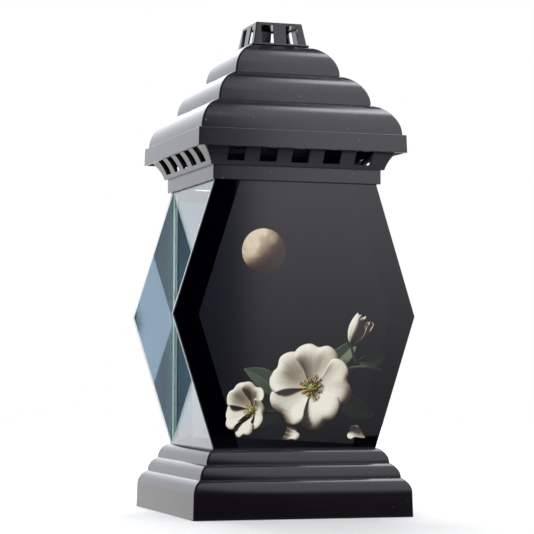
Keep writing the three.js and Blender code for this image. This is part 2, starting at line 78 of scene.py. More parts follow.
def linked(name, data):
    thing = bpy.data.objects.new(name, data)
    bpy.context.scene.collection.objects.link(thing)
    return thing


def shifted(bm, vec, verts=None):
    bmesh.ops.translate(bm, vec=vec, verts=bm.verts if verts is None else verts)
    return bm


def scaled(bm, vec, verts=None):
    bmesh.ops.scale(bm, vec=vec, verts=bm.verts if verts is None else verts)


def square(half, z):  # one ring of a square loft
    return Vector((half, half, z))


def oblong(halfX, halfY, z):
    return Vector((halfX, halfY, z))


def softened(stations, radius, steps=3, sharp=32, most=0.42, ends=False):
    # rounds each corner of a profile that turns by more than the sharp angle, and takes at
    # most a share of each side for it
    rounded = []
    count = len(stations)
    for place, here in enumerate(stations):
        inward = stations[place - 1] - here
        onward = stations[(place + 1) % count] - here
        atEnd = not ends and place in (0, count - 1)
        turn = 180 - math.degrees(inward.angle(onward))
        if atEnd or turn < sharp:
            rounded.append(here)
            continue
        reach = min(radius, most * inward.length, most * onward.length)
        start = here + inward.normalized() * reach
        end = here + onward.normalized() * reach
        for step in range(steps + 1):
            share = step / steps
            near = start.lerp(here, share)
            rounded.append(near.lerp(here.lerp(end, share), share))
    return rounded


def carried(bm, rim):
    # extrudes a ring of edges in place and gives its new points and its new ring
    made = bmesh.ops.extrude_edge_only(bm, edges=rim)["geom"]
    fresh = {item for item in made if isinstance(item, bmesh.types.BMVert)}
    edges = (item for item in made if isinstance(item, bmesh.types.BMEdge))
    return fresh, [edge for edge in edges if fresh.issuperset(edge.verts)]


def loft(stations, corner, closed, cornerSteps=4):
    # a square ring with rounded corners, carried through the stations
    bm = bmesh.new()
    first = stations[0]
    made = bmesh.ops.create_circle(bm, segments=4, radius=math.sqrt(2), cap_ends=True)["verts"]
    bmesh.ops.rotate(bm, verts=made, matrix=Matrix.Rotation(math.pi / 4, 3, "Z"))
    scaled(bm, (first.x, first.y, 1), made)
    shifted(bm, (0, 0, first.z), made)
    bmesh.ops.bevel(bm, geom=made, offset=corner, affect="VERTICES", segments=cornerSteps,
                    profile=0.5, material=-1)
    bmesh.ops.delete(bm, geom=bm.faces[:], context="FACES_ONLY")
    rim = start = bm.edges[:]
    for here, there in zip(stations, stations[1:]):
        fresh, rim = carried(bm, rim)
        step = there - here
        for x, y in corners:
            quarter = [vert for vert in fresh if vert.co.x * x > 0 and vert.co.y * y > 0]
            shifted(bm, (x * step.x, y * step.y, step.z), quarter)
    if closed:
        bmesh.ops.bridge_loops(bm, edges=start + rim)
    else:
        bmesh.ops.edgeloop_fill(bm, edges=start)
        bmesh.ops.edgeloop_fill(bm, edges=rim)
    return bm


def spun(profile, steps=72):
    # a round piece from (radius, height) points
    bm = bmesh.new()
    verts = [bm.verts.new((radius, 0, z)) for radius, z in profile]
    edges = [bm.edges.new(pair) for pair in zip(verts, verts[1:])]
    bmesh.ops.spin(bm, geom=verts + edges, axis=(0, 0, 1), cent=(0, 0, 0), steps=steps,
                   angle=2 * math.pi, use_merge=True)
    bmesh.ops.remove_doubles(bm, verts=bm.verts, dist=weld)
    return bm


def block(low, high):
    bm = bmesh.new()
    low, high = Vector(low), Vector(high)
    bmesh.ops.create_cube(bm, size=1)
    scaled(bm, high - low)
    return shifted(bm, (low + high) / 2)


def together(parts):
    whole = bmesh.new()
    for part in parts:
        scrap = meshed(part, "scrap")
        whole.from_mesh(scrap)
        bpy.data.meshes.remove(scrap)
    return whole


def plate(points, depth):
    # a flat outline given thickness
    bm = bmesh.new()
    face = bm.faces.new([bm.verts.new(point) for point in points])
    made = bmesh.ops.extrude_face_region(bm, geom=[face])["geom"]
    verts = [item for item in made if isinstance(item, bmesh.types.BMVert)]
    shifted(bm, depth, verts)
    bmesh.ops.recalc_face_normals(bm, faces=bm.faces)
    return bm


def windows(bm, spans, low, high, inside):
    # opens a row of windows through both walls on all four sides
    flat = [((0, 0, level), (0, 0, 1)) for level in (low, high)]
    upright = [((edge, 0, 0), (1, 0, 0)) for span in spans for edge in span]
    turned = [((0, edge, 0), (0, 1, 0)) for span in spans for edge in span]
    for point, normal in flat + upright + turned:
        geom = bm.verts[:] + bm.edges[:] + bm.faces[:]
        bmesh.ops.bisect_plane(bm, geom=geom, dist=onPlane, plane_co=point, plane_no=normal)

    def within(at, more=0.0):
        if not low - more < at.z < high + more:
            return None
        for along, across, side in ((at.x, at.y, "y"), (at.y, at.x, "x")):
            for number, (left, right) in enumerate(spans):
                if left - more < along < right + more and abs(across) > inside:
                    return side, across > 0, number
        return None

    gone = [face for face in bm.faces if within(face.calc_center_median())]
    bmesh.ops.delete(bm, geom=gone, context="FACES")
    rims = {}
    for edge in bm.edges:
        if edge.is_boundary:
            middle = (edge.verts[0].co + edge.verts[1].co) / 2
            rims.setdefault(within(middle, slack), []).append(edge)
    for rim in rims.values():
        bmesh.ops.bridge_loops(bm, edges=rim)


def put(bm, name, rides, finishes, replaced=(), sharp=38, mend=True, level=False):
    # scales a finished bmesh to metres and sets it in the scene; level keeps large faces flat
    # to the eye beside their rounded corners
    if mend:
        bmesh.ops.remove_doubles(bm, verts=bm.verts, dist=weld)
        bmesh.ops.recalc_face_normals(bm, faces=bm.faces)
    scaled(bm, (mm, mm, mm))
    mesh = meshed(bm, name)
    for material in finishes:
        mesh.materials.append(material)
    mesh.shade_smooth()
    mesh.set_sharp_from_angle(angle=math.radians(sharp))
    piece = linked(name, mesh)
    if level:
        weigh = piece.modifiers.new("level", "WEIGHTED_NORMAL")
        weigh.mode = "FACE_AREA"
        weigh.keep_sharp = True
    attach(piece, rides)
    if replaced:
        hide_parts(*replaced)
    return piece


# Shader helpers

class Wire:  # a socket that takes part in sums
    def __init__(self, bench, socket):
        self.bench = bench
        self.socket = socket

    def worked(self, operation, *others):
        return self.bench.add("ShaderNodeMath", {"operation": operation}, others)

    def __add__(self, other):
        return self.worked("ADD", self, other)

    def __sub__(self, other):
        return self.worked("SUBTRACT", self, other)

    def __rsub__(self, other):
        return self.worked("SUBTRACT", other, self)

    def __mul__(self, other):
        return self.worked("MULTIPLY", self, other)

    def __pow__(self, other):
        return self.worked("POWER", self, other)

    def __abs__(self):
        return self.worked("ABSOLUTE", self)

    def atLeast(self, other):
        return self.worked("MAXIMUM", self, other)

    def smooth(self, low, high):  # 0 below low, 1 above high
        settings = {"interpolation_type": "SMOOTHSTEP"}
        return self.bench.add("ShaderNodeMapRange", settings, (self, low, high, 0.0, 1.0))

    def beside(self, name):  # another output of the same node
        return Wire(self.bench, self.socket.node.outputs[name])

    __radd__ = __add__
    __rmul__ = __mul__


class Bench:  # the node tree of one finish or of the world
    def __init__(self, owner):
        owner.use_nodes = True
        self.tree = owner.node_tree
        self.tree.nodes.clear()

    def add(self, kind, settings=None, inputs=(), output=0):
        node = self.tree.nodes.new(kind)
        for key, value in (settings or {}).items():
            if key == "stops":
                self.setStops(node.color_ramp.elements, value)
            else:
                setattr(node, key, value)
        given = inputs.items() if isinstance(inputs, dict) else enumerate(inputs)
        for key, value in given:
            if isinstance(value, Wire):
                self.tree.links.new(value.socket, node.inputs[key])
            else:
                node.inputs[key].default_value = value
        return Wire(self, node.outputs[output]) if node.outputs else None

    def setStops(self, elements, stops):
        while len(elements) < len(stops):
            elements.new(1.0)
        for element, (position, colour) in zip(elements, stops):
            element.position = position
            element.color = (*colour, 1.0)

    def place(self):  # the point on the piece, in metres
        return self.add("ShaderNodeTexCoord", output="Object")

    def stretched(self, scale):  # the same point with its axes scaled
        return self.add("ShaderNodeMapping", None, {"Vector": self.place(), "Scale": scale})

    def noise(self, scale, detail, rough, vector=None):
        vector = vector or self.place()
        inputs = {"Vector": vector, "Scale": scale, "Detail": detail, "Roughness": rough}
        return self.add("ShaderNodeTexNoise", None, inputs)

    def cells(self, scale):
        return self.add("ShaderNodeTexVoronoi", None, {"Vector": self.place(), "Scale": scale})

    def blend(self, share, low, high, mode="MIX"):
        settings = {"data_type": "RGBA", "blend_type": mode}
        return self.add("ShaderNodeMix", settings, {0: share, 6: wide(low), 7: wide(high)}, 2)

    def axes(self, vector=None):
        split = self.add("ShaderNodeSeparateXYZ", None, (vector or self.place(),))
        return [split.beside(axis) for axis in "XYZ"]

    def shader(self, colour, rough, grain=None, also=None):
        # grain is a height with the strength and the distance of its bump
        inputs = {"Base Color": colour, "Roughness": rough, **(also or {})}
        if grain:
            bump = dict(zip(("Height", "Strength", "Distance"), grain))
            inputs["Normal"] = self.add("ShaderNodeBump", None, bump)
        return self.add("ShaderNodeBsdfPrincipled", None, inputs)

    def close(self, surface, kind="ShaderNodeOutputMaterial"):
        self.add(kind, None, {"Surface": surface})

    def coat(self, colour, rough, grain=None, also=None):
        self.close(self.shader(colour, rough, grain, also))


def wide(colour):  # a colour with its alpha, or a link
    return colour if isinstance(colour, Wire) else (*colour, 1.0)


def finish(make):  # turns a recipe into the material of its name
    material = bpy.data.materials.new(make.__name__)
    make(Bench(material))
    return material


def rays(bench, *kinds):  # 1 for light rays of a kind, otherwise 0
    path = bench.add("ShaderNodeLightPath")
    return [path.beside("Is %s Ray" % kind) for kind in kinds]


# Finishes

glass = {
    "wing": 30.6, "arris": 0.5, "arrisSteps": 1, "middle": 146.1, "border": 18.9,
    # the pair after silverBlur is where the painted light on the print's back fades out
    "silverFrom": 59.5, "silverBlur": 0.2, "paintedLightFade": (24, 36), "paintEnd": (-58.7, -58.3),
}


def specks(bench, scale, size, share):
    # small scattered dots, with only a share of the cells holding one
    cell = bench.cells(scale)
    tint = bench.axes(cell.beside("Color"))[0]
    dot = 1 - cell.smooth(size * 0.6, size)
    return dot * tint.smooth(1 - share, 1 - share + 0.01)


def seeThrough(bench, surface, tint):
    # shadow rays pass straight through the surface, so that what stands inside is lit
    clear = bench.add("ShaderNodeBsdfTransparent", None, {"Color": wide(tint)})
    bench.close(bench.add("ShaderNodeMixShader", None, (*rays(bench, "Shadow"), surface, clear)))


paintedRimHighlight = {"height": 12.75, "fade": (0.1, 0.24), "share": 0.24}  # a pale line painted along the top arris of the rim as a highlight


@finish
def roofPlastic(bench):
    mottle = bench.noise(38.0, 3.0, 0.6)
    grain = bench.noise(2600.0, 2.0, 0.6)
    dust = specks(bench, 165.0, 0.075, 0.5)
    level = boxOf("roof_shell")[0].z + paintedRimHighlight["height"]
    # painted highlight: the base colour is made paler along the rim's top arris
    arris = 1 - abs(bench.axes()[2] - level * mm).smooth(*metres(paintedRimHighlight["fade"]))
    base = bench.blend(mottle, (0.0085, 0.0088, 0.0106), (0.0170, 0.0175, 0.0205))
    base = bench.blend(arris * paintedRimHighlight["share"], base, (0.15, 0.15, 0.16))
    colour = bench.blend(dust * 0.6, base, (0.30, 0.29, 0.27))
    rough = 0.15 + mottle * 0.09 + dust * 0.2
    bench.coat(colour, rough, (grain, 0.12, 0.00006))


@finish
def plinthPlastic(bench):
    mottle = bench.noise(30.0, 3.0, 0.6)
    sink = bench.noise(22.0, 1.0, 0.4)  # faint waves of a moulded skin
    streak = bench.noise(1.0, 4.0, 0.7, bench.stretched((60.0, 60.0, 900.0)))
    scratch = streak.smooth(0.66, 0.69)
    dust = specks(bench, 165.0, 0.065, 0.3)
    base = bench.blend(mottle, (0.0046, 0.0036, 0.0048), (0.0062, 0.0050, 0.0062))
    colour = bench.blend(dust * 0.4 + scratch * 0.03, base, (0.25, 0.24, 0.23))
    rough = 0.13 + mottle * 0.05 + scratch * 0.1 + dust * 0.3
    bench.coat(colour, rough, (sink, 0.25, 0.0004), {"IOR": 1.44})


@finish
def blackGlass(bench):
    smear = bench.noise(25.0, 4.0, 0.6)
    colour = bench.blend(smear, (0.0002, 0.0002, 0.0010), (0.0004, 0.0004, 0.0016))
    bench.coat(colour, 0.012 + smear * 0.02, also={"IOR": 1.5})


@finish
def rearPaint(bench):  # silver wings beside the print's dark back, which has painted light in its middle
    cloud = bench.noise(18.0, 3.0, 0.5)
    aside = abs(bench.axes()[0])
    half, blur = glass["silverFrom"] * mm, glass["silverBlur"] * mm
    outside = aside.smooth(half - blur, half + blur)
    # painted light: the print's dark back is made paler towards its middle
    middle = 1 - aside.smooth(*metres(glass["paintedLightFade"]))
    back = bench.blend(middle, (0.12, 0.18, 0.235), (0.46, 0.62, 0.72))
    colour = bench.blend(outside, back, (0.80, 0.84, 0.88))
    bench.coat(colour, 0.08 + cloud * 0.06, also={"Metallic": outside})


@finish
def groundEdge(bench):  # ground glass edge, dark towards the paint
    grit = bench.noise(1800.0, 2.0, 0.6)
    y = bench.axes()[1]
    pale = bench.blend(grit, (0.66, 0.72, 0.71), (0.80, 0.85, 0.84))
    clean = y.smooth(*metres(glass["paintEnd"]))
    colour = bench.blend(clean, (0.02, 0.025, 0.03), pale)
    bench.coat(colour, 0.35 + grit * 0.2, (grit, 0.2, 0.00005))


@finish
def bondEdge(bench):  # butt edge of a side pane, pale green
    grit = bench.noise(1800.0, 2.0, 0.6)
    colour = bench.blend(grit, (0.42, 0.62, 0.57), (0.54, 0.74, 0.69))
    bench.coat(colour, 0.3 + grit * 0.2, (grit, 0.2, 0.00005))


@finish
def mirrorFace(bench):
    smear = bench.noise(20.0, 4.0, 0.6)
    colour = bench.blend(smear, (0.57, 0.71, 0.79), (0.61, 0.75, 0.83))
    bench.coat(colour, 0.012 + smear * 0.02, also={"Metallic": 1.0})


@finish
def mirrorBack(bench):  # protective paint on the silvering
    cloud = bench.noise(28.0, 4.0, 0.6)
    grit = bench.noise(1500.0, 2.0, 0.5)
    colour = bench.blend(cloud, (0.085, 0.095, 0.105), (0.115, 0.125, 0.135))
    bench.coat(colour, 0.38 + cloud * 0.12, (grit, 0.15, 0.00005))


@finish
def clearGlass(bench):
    smear = bench.noise(16.0, 4.0, 0.6)
    tint = bench.blend(smear, (0.94, 0.975, 0.99), (0.965, 0.99, 1.0))
    pane = bench.shader(tint, smear * 0.012, also={"IOR": 1.5, "Transmission Weight": 1.0})
    seeThrough(bench, pane, (0.90, 0.95, 0.94))


film = {"matt": 0.10, "foot": 55.0, "slant": 0.056, "blur": 0.4}  # the print's foot is bare


@finish
def printedFilm(bench):
    smear = bench.noise(24.0, 4.0, 0.6)
    x, _, z = bench.axes()
    cloud = bench.noise(13.0, 3.0, 0.55)
    upward = z.smooth(0.09, 0.19)
    night = (1 - 0.7 * x.smooth(-0.05, 0.03)) * (0.88 + cloud * 0.24) * (0.8 + upward * 0.2)
    colour = bench.blend(night, (0.0006, 0.0006, 0.0010), (0.0092, 0.0100, 0.0150))
    foot = film["foot"] * mm - x * film["slant"]
    matt = (z - foot).smooth(0.0, film["blur"] * mm)
    bench.coat(colour, 0.012 + matt * film["matt"] + smear * 0.02, also={"IOR": 1.5})


def printed(bench, stops, share, blush=None, tint=None):
    # one ink of the picture: its colour follows the tone worked out for each point
    smear = bench.noise(24.0, 4.0, 0.6)
    tone = bench.add("ShaderNodeAttribute", {"attribute_name": "tone"}, (), 2)
    colour = bench.add("ShaderNodeValToRGB", {"stops": stops}, (tone * share,))
    if tint:
        colour = bench.blend(blush, colour, tint, "MULTIPLY")
    bench.coat(colour, 0.11 + smear * 0.02, also={"IOR": 1.5})


@finish
def petalInk(bench):
    u, v, _ = bench.axes(bench.add("ShaderNodeUVMap"))
    spread = bench.add("ShaderNodeCombineXYZ", None, (u * 34.0, v * 2.2, 0.0))
    veins = bench.noise(1.0, 3.0, 0.6, spread)
    blotch = bench.noise(170.0, 3.0, 0.6)
    share = 0.72 + veins * 0.34 + blotch * 0.16
    blush = 1 - v.smooth(0.02, 0.30)
    printed(bench, [
        (0.0, (0.012, 0.007, 0.006)), (0.20, (0.060, 0.040, 0.031)), (0.42, (0.25, 0.21, 0.155)),
        (0.70, (0.60, 0.56, 0.45)), (1.0, (0.83, 0.80, 0.69)),
    ], share, blush, (0.55, 0.66, 0.16))


@finish
def leafInk(bench):
    u, v, _ = bench.axes(bench.add("ShaderNodeUVMap"))
    aside = abs(u - 0.5)
    rib = 1 - aside.smooth(0.012, 0.035)
    slant = v * 15.0 - aside * 9.0
    lines = bench.add("ShaderNodeMath", {"operation": "PINGPONG"}, (slant, 0.5))
    veins = 1 - lines.smooth(0.03, 0.10)
    cloud = bench.noise(260.0, 3.0, 0.6)
    printed(bench, [
        (0.0, (0.0030, 0.0040, 0.0032)), (0.3, (0.026, 0.037, 0.024)),
        (0.7, (0.100, 0.130, 0.082)), (1.0, (0.24, 0.28, 0.19)),
    ], 0.70 + rib * 0.35 + veins * 0.14 + cloud * 0.2)


@finish
def heartInk(bench):
    grain = bench.noise(900.0, 2.0, 0.6)
    printed(bench, [
        (0.0, (0.022, 0.024, 0.004)), (0.4, (0.19, 0.21, 0.035)), (1.0, (0.66, 0.66, 0.22)),
    ], 0.8 + grain * 0.4)


@finish
def pollenInk(bench):
    grain = bench.noise(1500.0, 2.0, 0.6)
    printed(bench, [
        (0.0, (0.05, 0.016, 0.004)), (0.5, (0.36, 0.14, 0.025)), (1.0, (0.80, 0.46, 0.12)),
    ], 0.7 + grain * 0.6)


@finish
def moonInk(bench):
    seas = bench.noise(95.0, 5.0, 0.62)
    printed(bench, [
        (0.0, (0.010, 0.006, 0.005)), (0.25, (0.085, 0.050, 0.034)), (0.6, (0.36, 0.27, 0.18)),
        (1.0, (0.66, 0.57, 0.42)),
    ], 1.25 - seas.smooth(0.40, 0.66) * 0.42)


@finish
def sealant(bench):  # clear silicone
    cloud = bench.noise(60.0, 3.0, 0.6)
    tint = bench.blend(cloud, (0.88, 0.92, 0.91), (0.95, 0.97, 0.96))
    also = {"IOR": 1.41, "Transmission Weight": 1.0}
    silicone = bench.shader(tint, 0.06 + cloud * 0.1, also=also)
    seeThrough(bench, silicone, (0.88, 0.92, 0.91))


@finish
def zincSteel(bench):
    rolled = bench.noise(1.0, 4.0, 0.6, bench.stretched((30.0, 700.0, 30.0)))
    spangle = bench.cells(90.0)
    colour = bench.blend(spangle.smooth(0.2, 0.8), (0.42, 0.43, 0.44), (0.58, 0.58, 0.59))
    bench.coat(colour, 0.28 + rolled * 0.2, (rolled, 0.15, 0.00005), {"Metallic": 1.0})


@finish
def goldTin(bench):
    rolled = bench.noise(1.0, 4.0, 0.6, bench.stretched((700.0, 30.0, 30.0)))
    colour = bench.blend(rolled, (0.62, 0.40, 0.11), (0.74, 0.51, 0.17))
    bench.coat(colour, 0.2 + rolled * 0.15, (rolled, 0.1, 0.00005), {"Metallic": 1.0})


@finish
def castWax(bench):
    cloud = bench.noise(40.0, 4.0, 0.6)
    colour = bench.blend(cloud, (0.80, 0.76, 0.66), (0.90, 0.87, 0.79))
    bench.coat(colour, 0.4 + cloud * 0.15, (cloud, 0.3, 0.0004),
               {"Subsurface Weight": 0.3, "Subsurface Scale": 0.004})


@finish
def cupPlastic(bench):
    rib = bench.noise(1.0, 3.0, 0.6, bench.stretched((30.0, 30.0, 90.0)))
    colour = bench.blend(rib, (0.68, 0.68, 0.66), (0.75, 0.74, 0.72))
    bench.coat(colour, 0.22 + rib * 0.1,
               also={"IOR": 1.46, "Subsurface Weight": 0.2, "Subsurface Scale": 0.003})


@finish
def cottonWick(bench):
    braid = bench.add("ShaderNodeTexWave", {"bands_direction": "DIAGONAL"},
                      {"Vector": bench.place(), "Scale": 420.0, "Distortion": 1.5})
    colour = bench.blend(braid, (0.45, 0.40, 0.30), (0.78, 0.72, 0.60))
    bench.coat(colour, 0.8 + braid * 0.1, (braid, 0.6, 0.0002))


print("finishes made")


# Square profiles that the mouldings share

def arc(half, z, radius, start, end, steps, side=1):
    # rings along an arc round a centre; side is -1 where the arc bulges towards the axis
    angles = [start + (end - start) * step / steps for step in range(steps + 1)]
    return [square(half + side * radius * math.cos(angle), z + radius * math.sin(angle))
            for angle in angles]


def tierStations(foot, base, count, run, rise, ledge, steps):
    # arcs, each upright at its foot and ending, still sloping a little, at a narrow ledge
    reach = run - ledge
    radius = (rise ** 2 + reach ** 2) / (2 * reach)
    end = math.asin(rise / radius)
    stations = []
    for tier in range(count):
        stations += arc(foot - tier * run - radius, base + tier * rise, radius, 0, end, steps)
    return stations


def offset(stations, by):
    return [station - Vector((by, by, by)) for station in stations]


# Plinth

plinth = {
    "skirt": 17.4, "draft": 0.5, "tiers": 3, "run": 6.43, "rise": 10.6, "ledge": 0.4,
    "land": 1.0, "wall": 2.2, "steps": 12, "corner": 1.3, "soft": 0.35,
    "pocket": (62.2, 61.1), "core": (54.8, 53.8),  # half sizes round and inside the panes
    "grooveDepth": 6.0, "floorDrop": 3.0, "stepIn": 2.0,
    "ringRadius": 28.6, "ringWall": 1.8, "ringHeight": 6.0,
    "ribDepth": 5.5, "ribThick": 1.8, "ribPairs": 2,
}
plinthTop = plinth["skirt"] + plinth["tiers"] * plinth["rise"]
pocket, core = plinth["pocket"], plinth["core"]


def plinthPiece():
    wall, soft = plinth["wall"], plinth["soft"]
    footHalf = boxOf("base_shell")[1].x
    half = footHalf - plinth["draft"]
    topHalf = pocket[0] + plinth["land"]
    grooveFloor = plinthTop - plinth["grooveDepth"]
    grooveUnder = grooveFloor - wall
    floorTop = plinthTop - plinth["floorDrop"]
    floorUnder = floorTop - wall
    well = [side - wall for side in core]
    stepHalf = min(well) - plinth["stepIn"]
    lastFoot = half - (plinth["tiers"] - 1) * plinth["run"]
    lastBase = plinth["skirt"] + (plinth["tiers"] - 1) * plinth["rise"]
    sizes = [plinth[key] for key in ("run", "rise", "ledge", "steps")]
    inner = offset(tierStations(half, plinth["skirt"], plinth["tiers"] - 1, *sizes), wall)
    outer = tierStations(half, plinth["skirt"], plinth["tiers"], *sizes)
    stations = [
        square(stepHalf, floorUnder),
        square(stepHalf, grooveUnder),
        square(lastFoot - wall, grooveUnder),
        square(lastFoot - wall, lastBase - wall),
        *reversed(inner),
        square(half - wall, 0),
        square(footHalf, 0),
        *outer,
        square(topHalf, plinthTop),
        oblong(*pocket, plinthTop),
        oblong(*pocket, grooveFloor),
        oblong(*core, grooveFloor),
        oblong(*core, plinthTop),
        oblong(*well, plinthTop),
        oblong(*well, floorTop),
    ]
    parts = [loft(softened(stations, soft), plinth["corner"], closed=False)]
    ringFoot, ringTop = floorTop - wall / 2, floorTop + plinth["ringHeight"]
    outside = plinth["ringRadius"] + plinth["ringWall"]
    parts.append(spun([
        (plinth["ringRadius"], ringFoot), (outside, ringFoot), (outside, ringTop - soft),
        (outside - soft, ringTop), (plinth["ringRadius"] + soft, ringTop),
        (plinth["ringRadius"], ringTop - soft), (plinth["ringRadius"], ringFoot),
    ]))
    pitch = 2 * half / (2 * plinth["ribPairs"] + 1)
    reach = lastFoot - wall / 2
    for pair in range(plinth["ribPairs"]):
        for side in (-1, 1):
            at = side * pitch * (pair + 0.5)
            near, far = at - plinth["ribThick"] / 2, at + plinth["ribThick"] / 2
            low, high = grooveUnder - plinth["ribDepth"], grooveUnder + wall / 2
            parts.append(block((near, -reach, low), (far, reach, high)))
            parts.append(block((-reach, near, low), (reach, far, high)))
    bm = together(parts)
    put(bm, "plinth_moulding", body, [plinthPlastic], ["base_shell"],
        level=True)
    print("plinth made")


plinthPiece()


# Vent frame

ventFrame = {
    "wall": 2.0, "collarWall": 1.9, "collarHeight": 10.3, "overhang": 2.1,
    "radius": 30.0, "lean": 15.0, "skirtDrop": 7.0, "steps": 10,
    "vents": 5, "margin": 11.15, "bar": 11.0, "sill": 3.0, "height": 11.2,
    "corner": 1.0, "soft": 0.3,
}


def ventFramePiece():
    wall = ventFrame["wall"]
    low, high = boxOf("vent_frame")
    collarBottom, lipTop, lipHalf = low.z, high.z, high.x
    coveFoot = collarBottom + ventFrame["collarHeight"]
    collarHalf = pocket[0] + ventFrame["collarWall"]
    footHalf = collarHalf + ventFrame["overhang"]
    lean = math.radians(ventFrame["lean"])
    radius = ventFrame["radius"]
    backRadius = radius + wall
    drop = radius * math.sin(lean)
    centreHalf, centre = footHalf + radius * math.cos(lean), coveFoot - drop
    outerEnd = math.acos((centreHalf - lipHalf) / radius)
    innerEnd = math.acos((centreHalf - lipHalf + wall) / backRadius)
    innerStart = math.asin((wall + drop) / backRadius)
    throat = [side - ventFrame["collarWall"] for side in core]
    webTop = coveFoot + wall
    skirtFoot = coveFoot - ventFrame["skirtDrop"]
    outer = arc(centreHalf, centre, radius, lean, outerEnd, ventFrame["steps"], -1)
    inner = arc(centreHalf, centre, backRadius, innerEnd, innerStart, ventFrame["steps"], -1)
    stations = [
        oblong(*pocket, collarBottom),
        square(collarHalf, collarBottom),
        square(collarHalf, coveFoot),
        *outer,
        square(lipHalf, lipTop),
        square(lipHalf - wall, lipTop),
        *inner,
        oblong(*throat, webTop),
        oblong(*throat, skirtFoot),
        oblong(*core, skirtFoot),
        oblong(*core, coveFoot),
        oblong(*pocket, coveFoot),
    ]
    bm = loft(softened(stations, ventFrame["soft"], ends=True), ventFrame["corner"], closed=True)
    pitch = (2 * (footHalf - ventFrame["margin"]) + ventFrame["bar"]) / ventFrame["vents"]
    width = pitch - ventFrame["bar"]
    middles = [(vent - (ventFrame["vents"] - 1) / 2) * pitch for vent in range(ventFrame["vents"])]
    spans = [(middle - width / 2, middle + width / 2) for middle in middles]
    sill = coveFoot + ventFrame["sill"]
    windows(bm, spans, sill, sill + ventFrame["height"], throat[0] + margin)
    put(bm, "vent_frame_moulding", body, [roofPlastic], ["vent_frame"],
        level=True)
    print("vent frame made")


ventFramePiece()


# Roof

roofSizes = {
    "wall": 2.0, "rimHeight": 13.0, "draft": 0.4, "rimStep": 2.8,
    "tiers": 3, "run": 17.93, "rise": 23.23, "ledge": 0.5, "land": 6.1,
    "steps": 18, "corner": 1.4, "soft": 0.5,
    "postRadius": 2.5, "postBore": 1.7, "postDrop": 17.0, "boreDeep": 9.3, "postSteps": 24,
}


def roofPiece():
    wall = roofSizes["wall"]
    low, high = boxOf("roof_shell")
    rimHalf, rimBottom, roofTop = high.x, low.z, high.z
    rimTop = rimBottom + roofSizes["rimHeight"]
    innerHalf = rimHalf - wall
    footHalf = rimHalf - roofSizes["rimStep"]
    topHalf = footHalf - roofSizes["tiers"] * roofSizes["run"]
    flueHalf = topHalf - roofSizes["land"]
    deckUnder = roofTop - wall
    sizes = [roofSizes[key] for key in ("tiers", "run", "rise", "ledge", "steps")]
    outer = tierStations(footHalf, rimTop, *sizes)
    stations = [
        square(rimHalf, rimBottom),
        square(rimHalf - roofSizes["draft"], rimTop),
        *outer,
        square(topHalf, roofTop),
        square(flueHalf, roofTop),
        square(flueHalf, deckUnder),
        square(topHalf - wall, deckUnder),
        *reversed(offset(outer, wall)),
        square(innerHalf, rimTop - wall),
        square(innerHalf, rimBottom),
    ]
    rounded = softened(stations, roofSizes["soft"], ends=True)
    parts = [loft(rounded, roofSizes["corner"], closed=True)]
    at = (flueHalf + topHalf) / 2
    head, foot = roofTop - wall / 2, deckUnder - roofSizes["postDrop"]
    bottom = foot + roofSizes["boreDeep"]
    radius, bore = roofSizes["postRadius"], roofSizes["postBore"]
    profile = [(0, head), (radius, head), (radius, foot), (bore, foot), (bore, bottom), (0, bottom)]
    for x, y in corners:
        post = spun(profile, roofSizes["postSteps"])
        parts.append(shifted(post, (x * at, y * at, 0)))
    bm = together(parts)
    put(bm, "roof_moulding", roof, [roofPlastic], ["roof_shell"], level=True)
    print("roof made")


roofPiece()


# Chimney cap

chimney = {
    "gap": 0.3, "margin": 0.2, "flange": 1.6, "flangeThick": 1.7, "flangeLap": 2.0,
    "wall": 1.2, "draft": 2.95, "post": 5.0, "bar": 9.6, "sill": 0.3, "head": 2.2,
    "topLand": 1.5, "corner": 0.8, "soft": 0.5, "noseSteps": 8,
    "clipWidth": 8.0, "clipThick": 1.6, "clipBarb": 1.3, "clipNose": 3.0,
}


def chimneyPiece():
    wall, gap = chimney["wall"], chimney["gap"]
    high, roofTop = boxOf("chimney_cap")[1], boxOf("roof_shell")[1].z
    foot, top = roofTop + gap, high.z
    flangeHalf, flangeTop = high.x, foot + chimney["flangeThick"]
    footHalf = flangeHalf - chimney["flange"]
    topHalf = footHalf - chimney["draft"]
    flueHalf = flangeHalf + chimney["margin"] - roofSizes["land"]
    opening = flueHalf - chimney["flangeLap"]
    nose = (flangeTop - foot) / 2  # half round edge of the flange
    stations = [
        square(topHalf - wall, top - wall),
        square(footHalf - wall, flangeTop),
        square(opening, flangeTop),
        square(opening, foot),
        *arc(flangeHalf - nose, foot + nose, nose, -math.pi / 2, math.pi / 2, chimney["noseSteps"]),
        square(footHalf, flangeTop),
        square(topHalf, top),
        square(topHalf - chimney["topLand"], top),
    ]
    bm = loft(softened(stations, chimney["soft"]), chimney["corner"], closed=False)
    near = chimney["bar"] / 2
    far = (footHalf + topHalf) / 2 - chimney["post"]
    spans = [(-far, -near), (near, far)]
    inside = topHalf - wall - margin
    windows(bm, spans, flangeTop + chimney["sill"], top - chimney["head"], inside)
    parts = [bm]
    face = flueHalf - gap
    catch = roofTop - roofSizes["wall"] - gap
    back = max(face - chimney["clipThick"], opening)
    outline = [
        (back, catch - chimney["clipNose"]), (face, catch - chimney["clipNose"]),
        (face + chimney["clipBarb"], catch), (face, catch), (face, flangeTop), (back, flangeTop),
    ]
    width = chimney["clipWidth"]
    for side in range(4):
        clip = plate([(x, -width / 2, z) for x, z in outline], (0, width, 0))
        bmesh.ops.rotate(clip, verts=clip.verts,
                         matrix=Matrix.Rotation(side * math.pi / 2, 3, "Z"))
        parts.append(clip)
    put(together(parts), "chimney_moulding", roof, [roofPlastic], ["chimney_cap"],
        level=True)
    print("chimney made")


chimneyPiece()


# Glass

